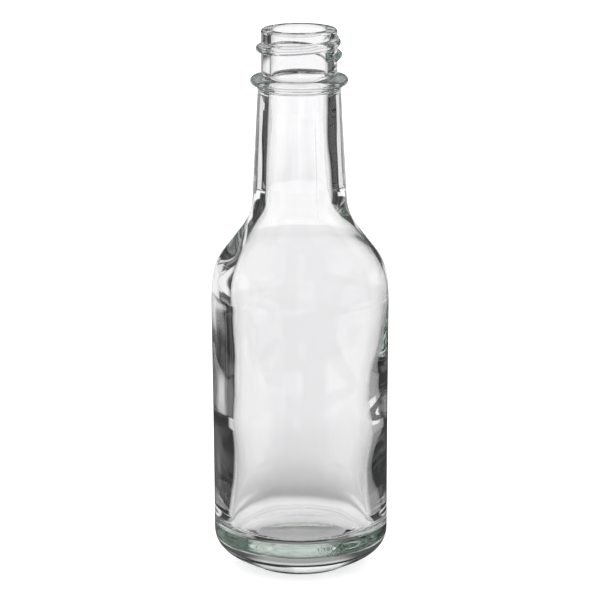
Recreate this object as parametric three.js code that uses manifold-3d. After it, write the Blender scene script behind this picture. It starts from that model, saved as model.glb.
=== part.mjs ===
// Clear glass bottle with a screw neck, about 50 ml, empty and open: one hollow piece of glass.
// Millimetres, +Z up. The origin is the centre of the foot, on the plane that the bottle stands on,
// and the front of the bottle faces -Y.
import * as THREE from "three";
import { mergeVertices } from "three/addons/utils/BufferGeometryUtils.js";
import Module from "manifold-3d";

// Overall
const HEIGHT = 113.54;
const SEGMENTS = 56;

// Foot, heel and body, outside
const PUSH_UP_HEIGHT = 0.24;
const FOOT_INNER_RADIUS = 8.8;
const FOOT_OUTER_RADIUS = 9.8;
const HEEL_PULL_OUT = 3.8;
const HEEL_PULL_RISE = 2.0;
const HEEL_PULL_DROP = 4.8;
const HEEL_TOP_HEIGHT = 8.0;
const LOW_BODY_RADIUS = 18.1;
const PANEL_RADIUS = 18.23;
const PANEL_LOW = 20;
const PANEL_HIGH = 37;
const SHOULDER_RADIUS = 18.45;
const SHOULDER_BASE_HEIGHT = 56;

// Shoulder and neck, outside
const SHOULDER_TOP_PULL = 9;
const SLOPE_RADIUS = 13.5;
const SLOPE_HEIGHT = 70.25;
const SLOPE_PULL_OUT = 3.5;
const SLOPE_PULL_DROP = 4.55;
const FLARE_PULL_IN = 2.3;
const FLARE_PULL_RISE = 2.95;
const NECK_BASE_RADIUS = 9.72;
const NECK_BASE_HEIGHT = 79.5;
const FLARE_TOP_PULL = 4.3;
const NECK_BOW_RADIUS = 9.05;
const NECK_BOW_HEIGHT = 92;
const NECK_TOP_RADIUS = 8.58;
const NECK_TOP_HEIGHT = 100.8;

// Ring round the neck, and the finish above it
const RING_HEIGHT = 102.85;
const RING_RADIUS = 10.1;
const RING_DEPTH = 1.55;
const RING_HALF_THICKNESS = 1.05;
const RING_LOW_ANGLE = THREE.MathUtils.degToRad(-78);
const RING_HIGH_ANGLE = THREE.MathUtils.degToRad(84);
const FINISH_RADIUS = 7.87;
const FINISH_BASE_HEIGHT = 104.5;
const RIM_OUTER_ROUND = 0.65;
const RIM_INNER_ROUND = 0.6;

// Screw thread, right-handed
const THREAD_RADIUS = 8.93;
const THREAD_PITCH = 3.175;
const THREAD_DEPTH_BELOW_RIM = 2.4;
const THREAD_START_STEP = 2.5;
const THREAD_STEP_COUNT = 62;
const THREAD_FADE_STEPS = 5;
const THREAD_ROOT_HALF_WIDTH = 1.12;
const THREAD_CREST_HALF_WIDTH = 0.5;
const THREAD_SINK = 0.5;
const THREAD_LEAST_RISE = 0.1;

// Inside
const BORE_RADIUS = 5.4;
const BORE_BASE_HEIGHT = 110;
const NECK_BORE_RADIUS = 6.0;
const NECK_BORE_TOP_HEIGHT = 95;
const NECK_BORE_BASE_RADIUS = 6.35;
const NECK_BORE_BASE_HEIGHT = 81;
const NECK_BORE_PULL = 7;
const CAVITY_SHOULDER_RADIUS = 15.8;
const CAVITY_SHOULDER_HEIGHT = 57;
const CAVITY_SHOULDER_PULL = 10.5;
const CAVITY_LOW_RADIUS = 15.6;
const CAVITY_LOW_HEIGHT = 12.6;
const FLOOR_EDGE_RADIUS = 12.4;
const FLOOR_EDGE_HEIGHT = 8.0;
const FLOOR_CENTRE_HEIGHT = 7.7;

const GLASS = { color: 0xdfe9e2, roughness: 0.04, metalness: 0 };

const wasm = await Module();
wasm.setup();

function point(radius, height) {
  return new THREE.Vector2(radius, height);
}

// A cubic curve through two ends with their two pulls, without its first point.
function curveTo(start, startPull, endPull, end, steps) {
  return new THREE.CubicBezierCurve(start, startPull, endPull, end).getPoints(steps).slice(1);
}

// Points of a round or oval arc about a centre in the profile's plane, ends included.
function arc(centre, halfWidth, halfHeight, startAngle, endAngle, steps) {
  return Array.from({ length: steps + 1 }, (_, i) => {
    const angle = startAngle + ((endAngle - startAngle) * i) / steps;
    return point(centre.x + halfWidth * Math.cos(angle), centre.y + halfHeight * Math.sin(angle));
  });
}

// From the middle of the hollow under the foot, out over the heel and up the body.
function footAndBody() {
  const footEdge = point(FOOT_OUTER_RADIUS, 0);
  const heelTop = point(LOW_BODY_RADIUS, HEEL_TOP_HEIGHT);
  return [
    point(0, PUSH_UP_HEIGHT),
    ...curveTo(
      point(0, PUSH_UP_HEIGHT),
      point(FOOT_INNER_RADIUS / 3, PUSH_UP_HEIGHT),
      point((FOOT_INNER_RADIUS * 2) / 3, (PUSH_UP_HEIGHT * 2) / 3),
      point(FOOT_INNER_RADIUS, 0),
      4,
    ),
    footEdge,
    ...curveTo(
      footEdge,
      point(FOOT_OUTER_RADIUS + HEEL_PULL_OUT, HEEL_PULL_RISE),
      point(LOW_BODY_RADIUS, HEEL_TOP_HEIGHT - HEEL_PULL_DROP),
      heelTop,
      8,
    ),
    point(PANEL_RADIUS, PANEL_LOW),
    point(PANEL_RADIUS, PANEL_HIGH),
    point((PANEL_RADIUS + SHOULDER_RADIUS) / 2, (PANEL_HIGH + SHOULDER_BASE_HEIGHT) / 2),
    point(SHOULDER_RADIUS, SHOULDER_BASE_HEIGHT),
  ];
}

// The round shoulder, the slope, the flare into the neck and the neck's slight taper.
function shoulderAndNeck() {
  const shoulder = point(SHOULDER_RADIUS, SHOULDER_BASE_HEIGHT);
  const slope = point(SLOPE_RADIUS, SLOPE_HEIGHT);
  const neckBase = point(NECK_BASE_RADIUS, NECK_BASE_HEIGHT);
  const neck = new THREE.QuadraticBezierCurve(
    neckBase,
    point(NECK_BOW_RADIUS, NECK_BOW_HEIGHT),
    point(NECK_TOP_RADIUS, NECK_TOP_HEIGHT),
  );
  return [
    ...curveTo(
      shoulder,
      point(SHOULDER_RADIUS, SHOULDER_BASE_HEIGHT + SHOULDER_TOP_PULL),
      point(SLOPE_RADIUS + SLOPE_PULL_OUT, SLOPE_HEIGHT - SLOPE_PULL_DROP),
      slope,
      7,
    ),
    ...curveTo(
      slope,
      point(SLOPE_RADIUS - FLARE_PULL_IN, SLOPE_HEIGHT + FLARE_PULL_RISE),
      point(NECK_BASE_RADIUS, NECK_BASE_HEIGHT - FLARE_TOP_PULL),
      neckBase,
      5,
    ),
    ...neck.getPoints(3).slice(1),
  ];
}

// The bead round the neck, the straight finish and the rounded rim, to the top of the bore.
function ringAndRim() {
  const beadCentre = point(RING_RADIUS - RING_DEPTH, RING_HEIGHT);
  const rimCentre = point(FINISH_RADIUS - RIM_OUTER_ROUND, HEIGHT - RIM_OUTER_ROUND);
  const boreCentre = point(BORE_RADIUS + RIM_INNER_ROUND, HEIGHT - RIM_INNER_ROUND);
  const quarter = Math.PI / 2;
  return [
    ...arc(beadCentre, RING_DEPTH, RING_HALF_THICKNESS, RING_LOW_ANGLE, RING_HIGH_ANGLE, 7),
    point(FINISH_RADIUS, FINISH_BASE_HEIGHT),
    ...arc(rimCentre, RIM_OUTER_ROUND, RIM_OUTER_ROUND, 0, quarter, 3),
    ...arc(boreCentre, RIM_INNER_ROUND, RIM_INNER_ROUND, quarter, 2 * quarter, 2),
  ];
}

// Down the bore and the neck, over the inside of the shoulder and down to the floor's middle.
function inside() {
  const boreBase = point(BORE_RADIUS, BORE_BASE_HEIGHT);
  const neckTop = point(NECK_BORE_RADIUS, NECK_BORE_TOP_HEIGHT);
  const third = (BORE_BASE_HEIGHT - NECK_BORE_TOP_HEIGHT) / 3;
  const neckBase = point(NECK_BORE_BASE_RADIUS, NECK_BORE_BASE_HEIGHT);
  const low = point(CAVITY_LOW_RADIUS, CAVITY_LOW_HEIGHT);
  const floorEdge = point(FLOOR_EDGE_RADIUS, FLOOR_EDGE_HEIGHT);
  return [
    boreBase,
    ...curveTo(
      boreBase,
      point(BORE_RADIUS, BORE_BASE_HEIGHT - third),
      point(NECK_BORE_RADIUS, NECK_BORE_TOP_HEIGHT + third),
      neckTop,
      4,
    ),
    neckBase,
    ...curveTo(
      neckBase,
      point(NECK_BORE_BASE_RADIUS, NECK_BORE_BASE_HEIGHT - NECK_BORE_PULL),
      point(CAVITY_SHOULDER_RADIUS, CAVITY_SHOULDER_HEIGHT + CAVITY_SHOULDER_PULL),
      point(CAVITY_SHOULDER_RADIUS, CAVITY_SHOULDER_HEIGHT),
      9,
    ),
    low,
    ...curveTo(
      low,
      point(CAVITY_LOW_RADIUS, FLOOR_EDGE_HEIGHT + 1),
      point(CAVITY_LOW_RADIUS - 1, FLOOR_EDGE_HEIGHT),
      floorEdge,
      4,
    ),
    point(0, FLOOR_CENTRE_HEIGHT),
  ];
}

// The closed solid of a geometry: its shared vertices are merged and its collapsed triangles dropped.
function solidOf(geometry) {
  geometry.deleteAttribute("normal");
  geometry.deleteAttribute("uv");
  const merged = mergeVertices(geometry);
  const triVerts = [];
  for (let i = 0; i < merged.index.count; i += 3) {
    const [a, b, c] = [0, 1, 2].map((k) => merged.index.getX(i + k));
    if (a !== b && b !== c && c !== a) triVerts.push(a, b, c);
  }
  const vertProperties = new Float32Array(merged.attributes.position.array);
  return new wasm.Manifold(new wasm.Mesh({ numProp: 3, vertProperties, triVerts: new Uint32Array(triVerts) }));
}

function turnedGlass() {
  const profile = [...footAndBody(), ...shoulderAndNeck(), ...ringAndRim(), ...inside()];
  const geometry = new THREE.LatheGeometry(profile, SEGMENTS);
  geometry.rotateX(Math.PI / 2);
  return solidOf(geometry);
}

// The thread's cross-section at one step, widest at its sunk root and lowest where it fades out.
function threadSection(step) {
  const angle = (2 * Math.PI * (THREAD_START_STEP - step)) / SEGMENTS;
  const height = HEIGHT - THREAD_DEPTH_BELOW_RIM - (THREAD_PITCH * step) / SEGMENTS;
  const fade = Math.min(1, step / THREAD_FADE_STEPS, (THREAD_STEP_COUNT - step) / THREAD_FADE_STEPS);
  const rise = THREE.MathUtils.smoothstep(fade, 0, 1);
  const rootRadius = FINISH_RADIUS - THREAD_SINK;
  const crestRadius = THREE.MathUtils.lerp(rootRadius + THREAD_LEAST_RISE, THREAD_RADIUS, rise);
  const outline = [
    [rootRadius, -THREAD_ROOT_HALF_WIDTH],
    [crestRadius, -THREAD_CREST_HALF_WIDTH],
    [crestRadius, THREAD_CREST_HALF_WIDTH],
    [rootRadius, THREAD_ROOT_HALF_WIDTH],
  ];
  return outline.map(([radius, offset]) => [
    radius * Math.cos(angle),
    radius * Math.sin(angle),
    height + offset,
  ]);
}

// The thread as one tube of sections round the finish, with a flat cap at each end.
function thread() {
  const sections = Array.from({ length: THREAD_STEP_COUNT + 1 }, (_, step) => threadSection(step));
  const corners = sections[0].length;
  const index = [];
  for (let step = 0; step < THREAD_STEP_COUNT; step++) {
    for (let i = 0; i < corners; i++) {
      const a = step * corners + i;
      const b = step * corners + ((i + 1) % corners);
      index.push(a, b, a + corners, b, b + corners, a + corners);
    }
  }
  const last = THREAD_STEP_COUNT * corners;
  for (let i = 1; i < corners - 1; i++) {
    index.push(0, i + 1, i, last, last + i, last + i + 1);
  }
  const geometry = new THREE.BufferGeometry();
  geometry.setAttribute("position", new THREE.Float32BufferAttribute(sections.flat(2), 3));
  geometry.setIndex(index);
  return solidOf(geometry);
}

function bottle() {
  const mesh = turnedGlass().add(thread()).getMesh();
  const geometry = new THREE.BufferGeometry();
  geometry.setAttribute("position", new THREE.BufferAttribute(mesh.vertProperties, mesh.numProp));
  geometry.setIndex(new THREE.BufferAttribute(mesh.triVerts, 1));
  geometry.computeVertexNormals();
  const piece = new THREE.Mesh(geometry, new THREE.MeshStandardMaterial(GLASS));
  piece.name = "bottle";
  return piece;
}

const glassBottle = new THREE.Group();
glassBottle.add(bottle());

export default glassBottle;
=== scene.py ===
"""The looks of a small clear glass bottle: one piece of moulded glass, empty, with an open screw neck.

The glass is one closed skin. An outline is turned round the axis, and the marks that moulding leaves,
such as the thread, the mould seams and the uneven wall, move that skin in or out.
Sizes are in millimetres and become metres where the mesh is made. The front of the bottle faces -Y.

The stage is a white table in a white studio. Clear glass shows what its light meets: light that goes
straight through meets white, and a painted shadow and painted light on the table round the foot, and light
that is turned back inside the glass meets pale and dark places, which make the bands along the bottle's
sides.
Those places are the studio's cards, and pale and dark places painted on the table.
"""

import math

import bmesh
import bpy
import numpy as np
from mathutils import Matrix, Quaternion, Vector


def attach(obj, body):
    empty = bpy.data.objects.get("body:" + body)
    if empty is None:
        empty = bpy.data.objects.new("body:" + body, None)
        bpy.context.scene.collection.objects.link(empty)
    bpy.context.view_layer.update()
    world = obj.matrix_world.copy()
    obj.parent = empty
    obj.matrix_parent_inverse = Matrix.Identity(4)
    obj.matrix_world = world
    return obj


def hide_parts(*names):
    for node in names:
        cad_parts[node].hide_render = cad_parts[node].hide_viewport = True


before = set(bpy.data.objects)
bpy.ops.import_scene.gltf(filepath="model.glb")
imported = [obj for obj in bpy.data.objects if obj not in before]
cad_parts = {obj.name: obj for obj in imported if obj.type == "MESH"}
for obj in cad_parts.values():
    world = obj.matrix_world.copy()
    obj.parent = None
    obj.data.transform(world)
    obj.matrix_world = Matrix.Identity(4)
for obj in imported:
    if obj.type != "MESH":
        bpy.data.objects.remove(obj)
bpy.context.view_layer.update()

MM = 0.001

# Foot, heel and body, outside
PUSH_UP_HEIGHT = 0.24
HOLLOW_PULLS = (0.33, 0.67)
FOOT_INNER_RADIUS = 8.8
FOOT_OUTER_RADIUS = 9.8
HEEL_PULL_OUT = 3.8
HEEL_PULL_RISE = 2.0
HEEL_PULL_DROP = 4.8
HEEL_TOP_HEIGHT = 8.0
LOW_BODY_RADIUS = 18.1
PANEL_RADIUS = 18.23
PANEL_LOW = 20
PANEL_HIGH = 37
SHOULDER_RADIUS = 18.45
SHOULDER_BASE_HEIGHT = 56

# Shoulder and neck, outside
SHOULDER_TOP_PULL = 9
SLOPE_RADIUS = 13.5
SLOPE_HEIGHT = 70.25
SLOPE_PULL_OUT = 3.5
SLOPE_PULL_DROP = 4.55
FLARE_PULL_IN = 2.3
FLARE_PULL_RISE = 2.95
NECK_BASE_RADIUS = 9.72
NECK_BASE_HEIGHT = 79.5
FLARE_TOP_PULL = 4.3
NECK_BOW_RADIUS = 9.05
NECK_BOW_HEIGHT = 92
NECK_TOP_RADIUS = 8.58
NECK_TOP_HEIGHT = 100.8

# Ring round the neck, and the finish above it
RING_HEIGHT = 102.85
RING_RADIUS = 10.1
RING_DEPTH = 1.55
RING_HALF_THICKNESS = 1.05
RING_LOW_ANGLE = math.radians(-78)
RING_HIGH_ANGLE = math.radians(84)
FINISH_RADIUS = 7.87
FINISH_BASE_HEIGHT = 104.5
RIM_OUTER_ROUND = 0.65
RIM_INNER_ROUND = 0.6
HEIGHT = 113.54

# Screw thread, right-handed
THREAD_RISE = 1.06
THREAD_PITCH = 3.175
THREAD_START_DEPTH = 2.3
THREAD_START_ANGLE = math.radians(14)
THREAD_TURNS = 1.11
THREAD_FADE_TURNS = 0.1
THREAD_HALF_WIDTH = 0.98
THREAD_ROUNDNESS = 0.6

# Inside
BORE_RADIUS = 5.4
BORE_BASE_HEIGHT = 110
NECK_BORE_RADIUS = 6.0
NECK_BORE_TOP_HEIGHT = 95
NECK_BORE_BASE_RADIUS = 6.35
NECK_BORE_BASE_HEIGHT = 81
NECK_BORE_PULL = 7
CAVITY_SHOULDER_RADIUS = 15.8
CAVITY_SHOULDER_HEIGHT = 57
CAVITY_SHOULDER_PULL = 10.5
CAVITY_LOW_RADIUS = 15.6
CAVITY_LOW_HEIGHT = 12.6
FLOOR_EDGE_RADIUS = 12.4
FLOOR_EDGE_HEIGHT = 8.0
FLOOR_CENTRE_HEIGHT = 7.7
FLOOR_MARK_RADIUS = 13.3
FLOOR_MARK_HALF_WIDTH = 0.55
FLOOR_MARK_RISE = 0.16
FLOOR_MARK_BEADS = 0.35
FLOOR_MARK_COUNT = 60
FLOOR_CORNER_PULL = 1
FLOOR_ZONE_HEIGHT = 2

# Where the blown wall is thinner (+) or thicker (-): angle, half spread, height, half height, amount
WALL_SWELLS = [
    (0, 75, 61, 19, 1.7),
    (0, 55, 38, 10, -0.6),
    (0, 65, 18, 16, -1.0),
    (180, 80, 47, 34, -1.05),
    (180, 70, 18, 16, -0.9),
    (0, 80, 92, 22, -0.45),
    (120, 60, 46, 16, 0.3),
    (-110, 60, 30, 16, 0.25),
    (-60, 50, 50, 12, -0.2),
    (60, 50, 24, 12, -0.2),
]
# Ripples of the blown wall: waves round it, height of one wave, phase, amount
WALL_RIPPLES = [(3, 31, 0.4, 0.03), (5, 17, 2.1, 0.015), (8, 23, 4.0, 0.01), (13, 9.5, 1.2, 0.004)]
SWELL_LOW = 9.5
SWELL_HIGH = 106
SWELL_FADE = 3

# Marks of the mould
SEAM_ANGLES = [math.radians(-68.5), math.radians(111.5)]
SEAM_RISE = 0.02
SEAM_NECK_RISES = [0.08, 0.01]
SEAM_NECK_LOW = 72
SEAM_NECK_HIGH = 97
SEAM_HALF_WIDTH = 0.13
SEAM_LOW = 6
SEAM_HIGH = 101
SEAM_LOW_FADE = 4
SEAM_HIGH_FADE = 1
SEAM_NECK_LOW_FADE = 8
SEAM_NECK_HIGH_FADE = 4

# How fine the skin is: its columns, and the steps of each stretch of the outline
COLUMN_STEP = math.radians(1.5)
SEAM_COLUMN_OFFSETS = [math.radians(a) for a in (0.15, 0.32, 0.55, 0.85)]
HOLLOW_STEPS = 22
FOOT_STEPS = 8
HEEL_STEPS = 30
BODY_STEPS = 72
SHOULDER_STEPS = 30
FLARE_STEPS = 22
NECK_STEPS = 36
RING_STEPS = 28
FINISH_STEPS = 100
RIM_OUTER_STEPS = 10
RIM_TOP_STEPS = 5
RIM_INNER_STEPS = 8
BORE_STEPS = 12
BORE_BEND_STEPS = 40
NECK_BORE_STEPS = 28
CAVITY_SHOULDER_STEPS = 56
CAVITY_STEPS = 72
FLOOR_CORNER_STEPS = 40
FLOOR_STEPS = 24

# Glass
GLASS_IOR = 1.52
GLASS_TINT = (0.7125, 0.80, 0.744, 1)
GLASS_TINT_DENSITY = 10.0

# View
CAMERA_DISTANCE = 0.786
CAMERA_ELEVATION = math.radians(13.4)
CAMERA_AIM_HEIGHT = 0.05651
CAMERA_LENS = 227.0
CAMERA_ROLL = math.radians(0.2)
CAMERA_SENSOR = 36
CAMERA_NEAR = 0.05
CAMERA_FAR = 20

# Light: how often it may be turned on its way, and the counts that part one kind of light from another
MOST_BOUNCES = 64
MOST_TURNS = 60
ONE_OR_MORE = 0.5
THREE_OR_MORE = 2.5
FADING_TURNS = (4.5, 7.5)
GUIDED_TURNS = (7.5, 10.5)
LEAST_DISTANCE = 0.001
# Side of a place: its share to the right (+) or left of the way straight back from the middle
SIDE_CARDS = [(0.72, 0.97, 0.8), (-0.78, -0.88, 0.58)]
EDGE_SIDES = (0.3, 0.55)

# Table, in metres
TABLE_RADIUS = 1.6
TABLE_SEGMENTS = 96
TABLE_DROP = 0.00006
TABLE_WARMTH = 1.02
TABLE_SEEN_GREY = 0.85
TABLE_SEEN_LIFT = 0.41
# Painted dark for light that went once through a solid edge far to a side
TABLE_PAINTED_EDGE_DARK = 0.07
TABLE_DARKEST = 0.03
TABLE_FADED = 0.2
# Painted reflection: the dark grey and the painted glow for light that the glass's outside reflects, and
# where the glow lies ahead and far out
TABLE_PAINTED_REFLECTION = (0.05, 0.6)
TABLE_MIRRORED_AHEAD = (0.6, 0.8)
TABLE_FAR = (0.2, 0.3)
TABLE_CARD_SOFTNESS = (0.004, 0.06)
# The table's colour with painted light and a painted shadow: painted light under the foot and in a bright
# ring round it, where light focused through the glass would fall, and the bottle's painted shadow beyond,
# darkest a few centimetres out. The grey under the foot, and its changes with the distance from the axis:
# start, end, change
UNDER_FOOT_PAINTED_LIGHT = 1.2
TABLE_PAINTED_SHADOW_AND_LIGHT = [
    (0.0092, 0.0106, 1.33),
    (0.0125, 0.0165, 0.515),
    (0.024, 0.038, 0.46),
    (0.040, 0.090, 1.68),
    (0.090, 0.130, 1.10),
    (0.300, 0.450, 1.16),
]
# Painted dark and pale places on the table that only turned light meets, seen as bands inside the glass:
# distance from and to, side from and to, brightness
TABLE_PAINTED_CARDS = [
    (-1, 0.012, -2, 2, 0.60),
    (0.012, 0.100, 0.50, 2, 0.28),
    (0.100, 0.235, 0.42, 2, 0.36),
    (0.150, 0.260, 0.60, 2, 0.80),
    (0.150, 0.340, -0.12, 0.07, 0.70),
    (0.240, 0.560, -0.42, 0.10, 0.72),
    (0.470, 0.560, -0.55, -0.38, 0.75),
    (0.115, 0.240, -2, -0.72, 0.60),
    (0.060, 0.085, -0.40, 0.10, 0.12),
    (0.040, 0.075, -0.40, -0.16, 0.24),
    (0.240, 0.340, -0.78, -0.50, 0.20),
]
# Where the table lets turned light through to the studio: distance from and to
TABLE_GAPS = [(0.032, 0.050), (0.178, 0.232), (0.560, 20)]

# Studio: whites for each kind of light, and how high or how far back a change starts and ends
STUDIO_SEEN_WHITE = 1.3
STUDIO_BOUNCED_WHITE = 1.38
STUDIO_STRAIGHT_WHITE = 1.1
STUDIO_STRAIGHT_LOSS = 0.7
STUDIO_LOSS_HEIGHTS = (0.12, 0.22)
STUDIO_EDGE_GREY = 0.1
STUDIO_MIRRORED = (0.1, 0.7)
STUDIO_MIRRORED_HEIGHTS = (0.1, 0.5)
STUDIO_CARD_WHITE = 1.25
STUDIO_CARD_DEPTHS = (-0.1, 0.15)
STUDIO_CARD_SOFTNESS = (0.08, 0.02)
STUDIO_FADED = 0.1
STUDIO_GUIDED = 0.75
STUDIO_GUIDED_HEIGHTS = (0.2, 0.4)
STREAKS_ACROSS = 22.0
STREAK_DETAIL = 3.0
STREAK_LEVELS = (0.35, 0.7)
STREAK_GREYS = (0.01, 0.12)
# What turned light meets in the studio: side from and to, height from and to, brightness
STUDIO_CARDS = [
    (-0.40, 0.10, -0.08, 0.22, 1.0),
    (-0.40, 0.40, 0.02, 0.22, 0.8),
    (-0.78, 0.10, -0.11, -0.02, 0.75),
    (-0.62, -0.03, -0.345, -0.29, 0.80),
    (-0.05, 0.25, -0.31, -0.25, 0.70),
    (-0.50, -0.24, -0.215, -0.17, 0.50),
    (0.08, 2, -2, -0.54, 0.85),
    (0.24, 2, -0.60, -0.26, 0.20),
    (0.50, 2, -0.26, -0.08, 0.12),
    (-2, 2, 0.62, 2, 0.30),
]

# The outline's three stretches
OUTSIDE, FINISH, INSIDE = range(3)


def line(start, end, steps):
    """Points from start to end, without the start."""
    return [tuple(np.add(start, np.subtract(end, start) * i / steps)) for i in range(1, steps + 1)]


def curve(start, start_pull, end_pull, end, steps):
    """Points of a cubic curve through two ends with their two pulls, without the start."""
    points = []
    for i in range(1, steps + 1):
        t = i / steps
        weights = ((1 - t) ** 3, 3 * (1 - t) ** 2 * t, 3 * (1 - t) * t**2, t**3)
        pulls = (start, start_pull, end_pull, end)
        points.append(tuple(sum(w * p[k] for w, p in zip(weights, pulls)) for k in (0, 1)))
    return points


def arc(centre, size, start_angle, end_angle, steps):
    """Points of a round or oval arc about a centre in the outline's plane, ends included."""
    points = []
    for i in range(steps + 1):
        angle = start_angle + (end_angle - start_angle) * i / steps
        points.append((centre[0] + size[0] * math.cos(angle), centre[1] + size[1] * math.sin(angle)))
    return points


def outside():
    """From the middle of the hollow under the foot, over the heel, body, shoulder, neck and ring."""
    crown = (0.0, PUSH_UP_HEIGHT)
    foot_inner = (FOOT_INNER_RADIUS, 0.0)
    foot_outer = (FOOT_OUTER_RADIUS, 0.0)
    heel_top = (LOW_BODY_RADIUS, HEEL_TOP_HEIGHT)
    shoulder = (SHOULDER_RADIUS, SHOULDER_BASE_HEIGHT)
    slope = (SLOPE_RADIUS, SLOPE_HEIGHT)
    neck_base = (NECK_BASE_RADIUS, NECK_BASE_HEIGHT)
    neck_top = (NECK_TOP_RADIUS, NECK_TOP_HEIGHT)
    neck_bow = (NECK_BOW_RADIUS, NECK_BOW_HEIGHT)
    bead = (RING_RADIUS - RING_DEPTH, RING_HEIGHT)
    bead_size = (RING_DEPTH, RING_HALF_THICKNESS)
    points = [crown]
    points += curve(
        crown,
        (FOOT_INNER_RADIUS * HOLLOW_PULLS[0], PUSH_UP_HEIGHT),
        (FOOT_INNER_RADIUS * HOLLOW_PULLS[1], PUSH_UP_HEIGHT * HOLLOW_PULLS[1]),
        foot_inner,
        HOLLOW_STEPS,
    )
    points += line(foot_inner, foot_outer, FOOT_STEPS)
    points += curve(
        foot_outer,
        (FOOT_OUTER_RADIUS + HEEL_PULL_OUT, HEEL_PULL_RISE),
        (LOW_BODY_RADIUS, HEEL_TOP_HEIGHT - HEEL_PULL_DROP),
        heel_top,
        HEEL_STEPS,
    )
    points += curve(
        heel_top,
        (LOW_BODY_RADIUS, PANEL_LOW),
        (PANEL_RADIUS, PANEL_HIGH),
        shoulder,
        BODY_STEPS,
    )
    points += curve(
        shoulder,
        (SHOULDER_RADIUS, SHOULDER_BASE_HEIGHT + SHOULDER_TOP_PULL),
        (SLOPE_RADIUS + SLOPE_PULL_OUT, SLOPE_HEIGHT - SLOPE_PULL_DROP),
        slope,
        SHOULDER_STEPS,
    )
    points += curve(
        slope,
        (SLOPE_RADIUS - FLARE_PULL_IN, SLOPE_HEIGHT + FLARE_PULL_RISE),
        (NECK_BASE_RADIUS, NECK_BASE_HEIGHT - FLARE_TOP_PULL),
        neck_base,
        FLARE_STEPS,
    )
    # Both pulls lie two thirds of the way to the bow, which makes the curve a parabola
    bow = np.multiply(neck_bow, 2 / 3)
    low_pull, high_pull = (tuple(np.multiply(end, 1 / 3) + bow) for end in (neck_base, neck_top))
    points += curve(neck_base, low_pull, high_pull, neck_top, NECK_STEPS)
    points += arc(bead, bead_size, RING_LOW_ANGLE, RING_HIGH_ANGLE, RING_STEPS)
    points.append((FINISH_RADIUS, FINISH_BASE_HEIGHT))
    return points


def rim():
    """Up the straight finish, over the rounded rim and to the top of the bore."""
    quarter = math.pi / 2
    rim_base = (FINISH_RADIUS, HEIGHT - RIM_OUTER_ROUND)
    outer_centre = (FINISH_RADIUS - RIM_OUTER_ROUND, rim_base[1])
    inner_centre = (BORE_RADIUS + RIM_INNER_ROUND, HEIGHT - RIM_INNER_ROUND)
    points = line((FINISH_RADIUS, FINISH_BASE_HEIGHT), rim_base, FINISH_STEPS)
    points += arc(outer_centre, (RIM_OUTER_ROUND,) * 2, 0, quarter, RIM_OUTER_STEPS)[1:]
    points += line(points[-1], (inner_centre[0], HEIGHT), RIM_TOP_STEPS)
    points += arc(inner_centre, (RIM_INNER_ROUND,) * 2, quarter, 2 * quarter, RIM_INNER_STEPS)[1:]
    return points


def inside():
    """Down the bore and the neck, over the inside of the shoulder and down to the floor's middle."""
    bore_top = (BORE_RADIUS, HEIGHT - RIM_INNER_ROUND)
    bore_base = (BORE_RADIUS, BORE_BASE_HEIGHT)
    neck_bore = (NECK_BORE_RADIUS, NECK_BORE_TOP_HEIGHT)
    neck_base = (NECK_BORE_BASE_RADIUS, NECK_BORE_BASE_HEIGHT)
    cavity_top = (CAVITY_SHOULDER_RADIUS, CAVITY_SHOULDER_HEIGHT)
    low = (CAVITY_LOW_RADIUS, CAVITY_LOW_HEIGHT)
    floor_edge = (FLOOR_EDGE_RADIUS, FLOOR_EDGE_HEIGHT)
    bend = (NECK_BORE_TOP_HEIGHT - BORE_BASE_HEIGHT) / 3
    points = line(bore_top, bore_base, BORE_STEPS)
    points += curve(
        bore_base,
        (BORE_RADIUS, BORE_BASE_HEIGHT + bend),
        (NECK_BORE_RADIUS, NECK_BORE_TOP_HEIGHT - bend),
        neck_bore,
        BORE_BEND_STEPS,
    )
    points += line(neck_bore, neck_base, NECK_BORE_STEPS)
    points += curve(
        neck_base,
        (NECK_BORE_BASE_RADIUS, NECK_BORE_BASE_HEIGHT - NECK_BORE_PULL),
        (CAVITY_SHOULDER_RADIUS, CAVITY_SHOULDER_HEIGHT + CAVITY_SHOULDER_PULL),
        cavity_top,
        CAVITY_SHOULDER_STEPS,
    )
    points += line(cavity_top, low, CAVITY_STEPS)
    points += curve(
        low,
        (CAVITY_LOW_RADIUS, FLOOR_EDGE_HEIGHT + FLOOR_CORNER_PULL),
        (CAVITY_LOW_RADIUS - FLOOR_CORNER_PULL, FLOOR_EDGE_HEIGHT),
        floor_edge,
        FLOOR_CORNER_STEPS,
    )
    points += line(floor_edge, (0.0, FLOOR_CENTRE_HEIGHT), FLOOR_STEPS)
    return points


def smooth(low, high, value):
    """0 below low and 1 above high, with a smooth rise between them. low may be the larger."""
    t = np.clip((value - low) / (high - low), 0, 1)
    return t * t * (3 - 2 * t)


def hump(offset, half_width):
    """1 in the middle and 0 from the half width on, as a parabola."""
    return np.clip(1 - (offset / half_width) ** 2, 0, 1)


def stretch(low, high, low_fade, high_fade, value):
    """1 between low and high and 0 outside them, with a fade at each end."""
    return smooth(low, low + low_fade, value) * smooth(high, high - high_fade, value)


def turn_from(centre, angle):
    """How far an angle lies from a centre, the shorter way round."""
    return np.abs((angle - centre + math.pi) % (2 * math.pi) - math.pi)


def thread_rise(angle, height):
    """How far the screw thread stands out of the finish."""
    rise = np.zeros(np.broadcast(angle, height).shape)
    turns_here = ((THREAD_START_ANGLE - angle) / (2 * math.pi)) % 1.0
    for passing in (0, 1):
        turns = turns_here + passing
        ends = stretch(0, THREAD_TURNS, THREAD_FADE_TURNS, THREAD_FADE_TURNS, turns)
        middle = HEIGHT - THREAD_START_DEPTH - THREAD_PITCH * turns
        shape = hump(height - middle, THREAD_HALF_WIDTH) ** THREAD_ROUNDNESS
        rise = np.maximum(rise, THREAD_RISE * ends * shape)
    return rise


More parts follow.
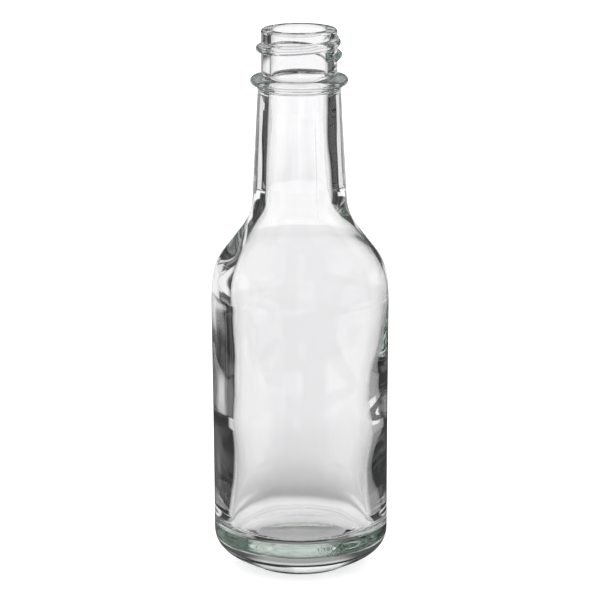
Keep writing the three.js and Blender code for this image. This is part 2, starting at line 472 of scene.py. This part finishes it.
def seam_rise(angle, radius, height):
    """How far the two mould seams stand out."""
    rise = np.zeros(np.broadcast(angle, height).shape)
    along = SEAM_RISE * stretch(SEAM_LOW, SEAM_HIGH, SEAM_LOW_FADE, SEAM_HIGH_FADE, height)
    on_neck = stretch(SEAM_NECK_LOW, SEAM_NECK_HIGH, SEAM_NECK_LOW_FADE, SEAM_NECK_HIGH_FADE, height)
    for seam, neck_rise in zip(SEAM_ANGLES, SEAM_NECK_RISES):
        across = turn_from(seam, angle) * radius
        rise = rise + (along + neck_rise * on_neck) * smooth(SEAM_HALF_WIDTH, 0, across)
    return rise


def wall_swell(angle, height):
    """How far the cavity's wall lies outside its even outline."""
    swell = np.zeros(np.broadcast(angle, height).shape)
    for centre, spread, middle, half, amount in WALL_SWELLS:
        around = hump(turn_from(math.radians(centre), angle), math.radians(spread)) ** 2
        along = hump(height - middle, half) ** 2
        swell = swell + amount * around * along
    for waves, length, phase, amount in WALL_RIPPLES:
        swell = swell + amount * np.sin(waves * angle + phase) * np.sin(2 * math.pi * height / length + phase)
    return swell


def floor_mark(angle, radius):
    """How far the beaded ring at the edge of the inside floor stands up."""
    across = hump(radius - FLOOR_MARK_RADIUS, FLOOR_MARK_HALF_WIDTH)
    beads = 1 + FLOOR_MARK_BEADS * np.sin(FLOOR_MARK_COUNT * angle)
    return FLOOR_MARK_RISE * across * beads


def column_angles():
    """The skin's columns: evenly spaced, and closer at the two seams."""
    angles = [COLUMN_STEP * i for i in range(round(2 * math.pi / COLUMN_STEP))]
    clearance = SEAM_COLUMN_OFFSETS[-1] + COLUMN_STEP / 4
    for seam in SEAM_ANGLES:
        centre = seam % (2 * math.pi)
        angles = [a for a in angles if abs(a - centre) > clearance]
        angles.append(centre)
        for offset in SEAM_COLUMN_OFFSETS:
            angles += [centre - offset, centre + offset]
    return np.array(sorted(angles))


def skin():
    """The closed skin as one grid of rows and columns between two points on the axis."""
    outer = outside()
    finish = rim()
    inner = inside()
    profile = np.array(outer + finish + inner)
    kinds = np.array([OUTSIDE] * len(outer) + [FINISH] * len(finish) + [INSIDE] * len(inner))[:, None]
    angles = column_angles()[None, :]
    radius = np.repeat(profile[:, :1], angles.size, axis=1)
    height = np.repeat(profile[:, 1:], angles.size, axis=1)
    even_radius = radius.copy()
    on_straight_finish = (kinds == FINISH) & np.isclose(profile[:, :1], FINISH_RADIUS)
    on_floor = (kinds == INSIDE) & (height < FLOOR_EDGE_HEIGHT + FLOOR_ZONE_HEIGHT)
    on_wall = stretch(SWELL_LOW, SWELL_HIGH, SWELL_FADE, SWELL_FADE, height)
    radius = radius + np.where(on_straight_finish, thread_rise(angles, height), 0)
    radius = radius + np.where(kinds == OUTSIDE, seam_rise(angles, even_radius, height), 0)
    radius = radius + np.where(kinds == INSIDE, wall_swell(angles, height) * on_wall, 0)
    height = height + np.where(on_floor, floor_mark(angles, even_radius), 0)
    return radius, height, angles


def closed_mesh(name, radius, height, angles):
    """A mesh of the grid, with one point at each end of the outline."""
    mesh = bmesh.new()
    rows, columns = radius.shape
    grid = []
    for row in range(1, rows - 1):
        ring = []
        for column in range(columns):
            reach = radius[row, column] * MM
            angle = angles[0, column]
            place = (reach * math.cos(angle), reach * math.sin(angle), height[row, column] * MM)
            ring.append(mesh.verts.new(place))
        grid.append(ring)
    bottom = mesh.verts.new((0, 0, height[0, 0] * MM))
    top = mesh.verts.new((0, 0, height[-1, 0] * MM))
    for column in range(columns):
        following = (column + 1) % columns
        mesh.faces.new((bottom, grid[0][following], grid[0][column]))
        mesh.faces.new((top, grid[-1][column], grid[-1][following]))
        for low, high in zip(grid, grid[1:]):
            mesh.faces.new((low[column], low[following], high[following], high[column]))
    data = bpy.data.meshes.new(name)
    mesh.to_mesh(data)
    mesh.free()
    data.polygons.foreach_set("use_smooth", [True] * len(data.polygons))
    piece = bpy.data.objects.new(name, data)
    bpy.context.scene.collection.objects.link(piece)
    return piece


def add(tree, kind, inputs=None, **settings):
    """A node with its settings, and its inputs set to a value or linked to a socket."""
    node = tree.nodes.new(kind)
    for key, value in settings.items():
        setattr(node, key, value)
    for key, value in (inputs or {}).items():
        if isinstance(value, bpy.types.NodeSocket):
            tree.links.new(value, node.inputs[key])
        else:
            node.inputs[key].default_value = value
    return node


def maths(tree, operation, *values):
    """The result of one operation on values or sockets."""
    return add(tree, "ShaderNodeMath", dict(enumerate(values)), operation=operation).outputs[0]


def product(tree, first, *others):
    """All the values multiplied."""
    for value in others:
        first = maths(tree, "MULTIPLY", first, value)
    return first


def brightest(tree, first, *others):
    """The largest of the values."""
    for value in others:
        first = maths(tree, "MAXIMUM", first, value)
    return first


def between(tree, value, ends, first, last):
    """A smooth change from first to last as the value goes from one end to the other."""
    inputs = {"Value": value, "From Min": ends[0], "From Max": ends[1], "To Min": first, "To Max": last}
    return add(tree, "ShaderNodeMapRange", inputs, interpolation_type="SMOOTHSTEP").outputs["Result"]


def mix_number(tree, factor, first, last):
    """One number for a factor of 0 and another for 1."""
    return add(tree, "ShaderNodeMix", {0: factor, 2: first, 3: last}, data_type="FLOAT").outputs[0]


def mix_colour(tree, factor, first, last):
    """One colour for a factor of 0 and another for 1."""
    return add(tree, "ShaderNodeMix", {0: factor, 6: first, 7: last}, data_type="RGBA").outputs[2]


def grey_colour(tree, value):
    """The grey colour of a brightness that a socket gives."""
    return add(tree, "ShaderNodeCombineColor", {0: value, 1: value, 2: value}).outputs[0]


def plain_grey(value):
    """The grey colour of a brightness that is a number."""
    return (value, value, value, 1)


def empty_material(name):
    """A new material without nodes."""
    material = bpy.data.materials.new(name)
    material.use_nodes = True
    material.node_tree.nodes.clear()
    return material


def clear_glass():
    """Clear container glass with a faint green tint that shows where the light goes far through it."""
    material = empty_material("clear_container_glass")
    tree = material.node_tree
    glass = add(
        tree,
        "ShaderNodeBsdfPrincipled",
        {
            "Base Color": (1, 1, 1, 1),
            "Roughness": 0.0,
            "IOR": GLASS_IOR,
            "Transmission Weight": 1.0,
        },
    )
    tint = add(tree, "ShaderNodeVolumeAbsorption", {"Color": GLASS_TINT, "Density": GLASS_TINT_DENSITY})
    output = add(tree, "ShaderNodeOutputMaterial")
    tree.links.new(glass.outputs[0], output.inputs["Surface"])
    tree.links.new(tint.outputs[0], output.inputs["Volume"])
    return material


def at_least(tree, light_path, count, limit):
    """1 where a count of the light's path is above the limit, and 0 elsewhere."""
    return maths(tree, "GREATER_THAN", light_path.outputs[count], limit)


def fewer(tree, light_path, count, limit):
    """1 where a count of the light's path is below the limit, and 0 elsewhere."""
    return maths(tree, "LESS_THAN", light_path.outputs[count], limit)


def turned_light(tree, light_path):
    """1 for light that was turned back inside the glass, and 0 for the rest."""
    return product(
        tree,
        at_least(tree, light_path, "Transmission Depth", ONE_OR_MORE),
        at_least(tree, light_path, "Glossy Depth", ONE_OR_MORE),
        fewer(tree, light_path, "Diffuse Depth", ONE_OR_MORE),
    )


def mirrored_light(tree, light_path):
    """1 for light that only the outside of the glass reflects, and 0 for the rest."""
    return product(
        tree,
        fewer(tree, light_path, "Transmission Depth", ONE_OR_MORE),
        at_least(tree, light_path, "Glossy Depth", ONE_OR_MORE),
    )


def edge_light(tree, light_path, side):
    """1 for light that went once through a solid edge of the glass and far to a side."""
    return product(
        tree,
        at_least(tree, light_path, "Transmission Depth", ONE_OR_MORE),
        fewer(tree, light_path, "Transmission Depth", THREE_OR_MORE),
        fewer(tree, light_path, "Glossy Depth", ONE_OR_MORE),
        fewer(tree, light_path, "Diffuse Depth", ONE_OR_MORE),
        between(tree, maths(tree, "ABSOLUTE", side), EDGE_SIDES, 0, 1),
    )


def fading(tree, light_path, last):
    """A loss that grows from none to the last value with the turns of the light inside the glass."""
    return between(tree, light_path.outputs["Glossy Depth"], FADING_TURNS, 1.0, last)


def window(tree, value, start, stop, softness):
    """1 inside a range of the value and 0 outside it, with soft ends."""
    rise = between(tree, value, (start - softness, start + softness), 0, 1)
    fall = between(tree, value, (stop - softness, stop + softness), 1, 0)
    return product(tree, rise, fall)


def cards(tree, first, second, table, softness):
    """The brightest of a table's cards, each of them a range of two values."""
    found = 0.0
    for first_from, first_to, second_from, second_to, brightness in table:
        in_first = window(tree, first, first_from, first_to, softness[0])
        in_second = window(tree, second, second_from, second_to, softness[1])
        found = brightest(tree, found, product(tree, in_first, in_second, brightness))
    return found


def side_cards(tree, side):
    """The grey that light turned far to a side meets, on the right and on the left: painted dark and pale on
    the table, and lit in the studio.
    """
    return brightest(tree, *(between(tree, side, (start, stop), 0, most) for start, stop, most in SIDE_CARDS))


def painted_table_shadow_and_light(tree, away):
    """Painted light and shadow in the table's colour: a painted shadow, greyer where the bottle keeps light
    from it, and painted light under and round the foot.
    """
    grey = UNDER_FOOT_PAINTED_LIGHT
    for start, stop, change in TABLE_PAINTED_SHADOW_AND_LIGHT:
        grey = product(tree, grey, between(tree, away, (start, stop), 1.0, change))
    warm = product(tree, grey, TABLE_WARMTH)
    return add(tree, "ShaderNodeCombineColor", {0: warm, 1: grey, 2: warm}).outputs[0]


def painted_table_for_turned(tree, light_path, away, side):
    """The table's colour for light turned back inside the glass: painted dark, with painted pale places."""
    dim = brightest(
        tree,
        side_cards(tree, side),
        TABLE_DARKEST,
        cards(tree, away, side, TABLE_PAINTED_CARDS, TABLE_CARD_SOFTNESS),
    )
    return grey_colour(tree, product(tree, dim, fading(tree, light_path, TABLE_FADED)))


def painted_table_reflection(tree, away, ahead):
    """Painted reflection in the table's colour for light that the outside of the glass reflects: painted
    dark, with a painted glow far behind the bottle.
    """
    least, glow = TABLE_PAINTED_REFLECTION
    far = between(tree, away, TABLE_FAR, 0, 1)
    behind = between(tree, ahead, TABLE_MIRRORED_AHEAD, 0, glow)
    return grey_colour(tree, maths(tree, "ADD", product(tree, behind, far), least))


def table_gaps(tree, away):
    """1 where the table lets turned light through, and 0 elsewhere."""
    clear = 0.0
    for start, stop in TABLE_GAPS:
        clear = brightest(tree, clear, window(tree, away, start, stop, TABLE_CARD_SOFTNESS[0]))
    return clear


def painted_table_paper():
    """The table's paper: white where the camera sees it, and with painted shadow, painted light, painted dark
    places and a painted reflection for each other kind of light that reaches it.
    """
    material = empty_material("white_table")
    tree = material.node_tree
    light_path = add(tree, "ShaderNodeLightPath")
    place = add(tree, "ShaderNodeNewGeometry").outputs["Position"]
    away = add(tree, "ShaderNodeVectorMath", {0: place}, operation="LENGTH").outputs["Value"]
    across, depth = add(tree, "ShaderNodeSeparateXYZ", {0: place}).outputs[:2]
    reach = brightest(tree, away, LEAST_DISTANCE)
    side = maths(tree, "DIVIDE", across, reach)
    ahead = maths(tree, "DIVIDE", depth, reach)
    turned = turned_light(tree, light_path)
    # Light that went once through a solid edge far to a side meets painted dark on the table far from the
    # bottle.
    edge = product(tree, edge_light(tree, light_path, side), between(tree, away, TABLE_FAR, 0, 1))
    # The table's painted shadow and painted light round the foot, with painted dark where light through a
    # solid edge meets it far out.
    painted_paper = mix_colour(tree, edge, painted_table_shadow_and_light(tree, away), plain_grey(TABLE_PAINTED_EDGE_DARK))
    # Painted dark and pale places on the table for light turned back inside the glass.
    painted_paper = mix_colour(tree, turned, painted_paper, painted_table_for_turned(tree, light_path, away, side))
    # Painted reflection for light that the outside of the glass reflects.
    painted_paper = mix_colour(tree, mirrored_light(tree, light_path), painted_paper, painted_table_reflection(tree, away, ahead))
    seen = light_path.outputs["Is Camera Ray"]
    painted_paper = mix_colour(tree, seen, painted_paper, plain_grey(TABLE_SEEN_GREY))
    diffuse = add(tree, "ShaderNodeBsdfDiffuse", {"Color": painted_paper})
    glow = product(tree, seen, TABLE_SEEN_LIFT)
    lift = add(tree, "ShaderNodeEmission", {"Color": plain_grey(1), "Strength": glow})
    lit = add(tree, "ShaderNodeAddShader", {0: diffuse.outputs[0], 1: lift.outputs[0]})
    through = add(tree, "ShaderNodeBsdfTransparent")
    clear = product(tree, turned, table_gaps(tree, away))
    surface = add(tree, "ShaderNodeMixShader", {0: clear, 1: lit.outputs[0], 2: through.outputs[0]})
    output = add(tree, "ShaderNodeOutputMaterial")
    tree.links.new(surface.outputs[0], output.inputs["Surface"])
    return material


def white_table():
    """The pale table, overexposed where the camera sees it, with a painted shadow and painted light close to
    the bottle for other light.
    """
    mesh = bmesh.new()
    bmesh.ops.create_circle(mesh, cap_ends=True, radius=TABLE_RADIUS, segments=TABLE_SEGMENTS)
    data = bpy.data.meshes.new("white_table")
    mesh.to_mesh(data)
    mesh.free()
    data.materials.append(painted_table_paper())
    table = bpy.data.objects.new("white_table", data)
    table.location.z = -TABLE_DROP
    bpy.context.scene.collection.objects.link(table)


def streaked_dark(tree, side, height):
    """A dark grey with soft upright streaks."""
    spread = add(tree, "ShaderNodeCombineXYZ", {0: product(tree, side, STREAKS_ACROSS), 1: height})
    inputs = {"Vector": spread.outputs[0], "Scale": 1.0, "Detail": STREAK_DETAIL}
    streaks = add(tree, "ShaderNodeTexNoise", inputs, noise_dimensions="2D")
    return grey_colour(tree, between(tree, streaks.outputs[0], STREAK_LEVELS, *STREAK_GREYS))


def studio_for_turned(tree, light_path, side, depth, height):
    """What light turned back inside the glass meets: cards behind the bottle, and dark elsewhere.

    Light that the thick base guides up the wall is turned very often and meets white above.
    """
    lit_cards = product(
        tree,
        brightest(
            tree,
            side_cards(tree, side),
            cards(tree, side, height, STUDIO_CARDS, STUDIO_CARD_SOFTNESS),
        ),
        between(tree, depth, STUDIO_CARD_DEPTHS, 0, 1),
        fading(tree, light_path, STUDIO_FADED),
    )
    guided = product(
        tree,
        between(tree, light_path.outputs["Glossy Depth"], GUIDED_TURNS, 0, STUDIO_GUIDED),
        between(tree, height, STUDIO_GUIDED_HEIGHTS, 0, 1),
    )
    brightness = brightest(tree, lit_cards, guided)
    return mix_colour(tree, brightness, streaked_dark(tree, side, height), plain_grey(STUDIO_CARD_WHITE))


def studio_for_straight(tree, light_path, side, height):
    """What light meets that went straight through the glass, or that its outside reflects."""
    once = fewer(tree, light_path, "Transmission Depth", THREE_OR_MORE)
    loss = product(tree, once, between(tree, height, STUDIO_LOSS_HEIGHTS, 0, STUDIO_STRAIGHT_LOSS))
    reflected = between(tree, height, STUDIO_MIRRORED_HEIGHTS, *STUDIO_MIRRORED)
    straight = maths(tree, "SUBTRACT", STUDIO_STRAIGHT_WHITE, loss)
    straight = mix_number(tree, edge_light(tree, light_path, side), straight, STUDIO_EDGE_GREY)
    return grey_colour(tree, mix_number(tree, mirrored_light(tree, light_path), straight, reflected))


def studio():
    """A white studio with dark sides for the light inside the glass."""
    world = bpy.data.worlds.new("white_studio")
    bpy.context.scene.world = world
    world.use_nodes = True
    tree = world.node_tree
    tree.nodes.clear()
    light_path = add(tree, "ShaderNodeLightPath")
    direction = add(tree, "ShaderNodeTexCoord").outputs["Generated"]
    across, depth, height = add(tree, "ShaderNodeSeparateXYZ", {0: direction}).outputs
    squares = maths(tree, "ADD", product(tree, across, across), product(tree, depth, depth))
    level = maths(tree, "SQRT", squares)
    side = maths(tree, "DIVIDE", across, brightest(tree, level, LEAST_DISTANCE))
    straight = studio_for_straight(tree, light_path, side, height)
    turned = studio_for_turned(tree, light_path, side, depth, height)
    bounced = at_least(tree, light_path, "Diffuse Depth", ONE_OR_MORE)
    lit = mix_colour(tree, turned_light(tree, light_path), straight, turned)
    lit = mix_colour(tree, bounced, lit, plain_grey(STUDIO_BOUNCED_WHITE))
    lit = mix_colour(tree, light_path.outputs["Is Camera Ray"], lit, plain_grey(STUDIO_SEEN_WHITE))
    backdrop = add(tree, "ShaderNodeBackground", {"Color": lit, "Strength": 1.0})
    output = add(tree, "ShaderNodeOutputWorld")
    tree.links.new(backdrop.outputs[0], output.inputs["Surface"])


def camera():
    """The photograph's view: a long lens a little above the bottle."""
    data = bpy.data.cameras.new("camera")
    data.lens = CAMERA_LENS
    data.sensor_width = CAMERA_SENSOR
    data.clip_start = CAMERA_NEAR
    data.clip_end = CAMERA_FAR
    piece = bpy.data.objects.new("camera", data)
    bpy.context.scene.collection.objects.link(piece)
    aim = Vector((0, 0, CAMERA_AIM_HEIGHT))
    back = Vector((0, -math.cos(CAMERA_ELEVATION), math.sin(CAMERA_ELEVATION)))
    piece.location = aim + back * CAMERA_DISTANCE
    piece.rotation_mode = "QUATERNION"
    piece.rotation_quaternion = (-back).to_track_quat("-Z", "Y") @ Quaternion((0, 0, 1), -CAMERA_ROLL)
    bpy.context.scene.camera = piece


def light_limits():
    """Enough bounces for the light that the thick base guides up the wall, and plain tones."""
    scene = bpy.context.scene
    scene.view_settings.view_transform = "Standard"
    scene.cycles.max_bounces = MOST_BOUNCES
    scene.cycles.glossy_bounces = MOST_TURNS
    scene.cycles.transmission_bounces = MOST_TURNS


camera()
light_limits()
studio()
white_table()

bottle = closed_mesh("glass_bottle", *skin())
bottle.data.materials.append(clear_glass())
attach(bottle, "root")
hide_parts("bottle")
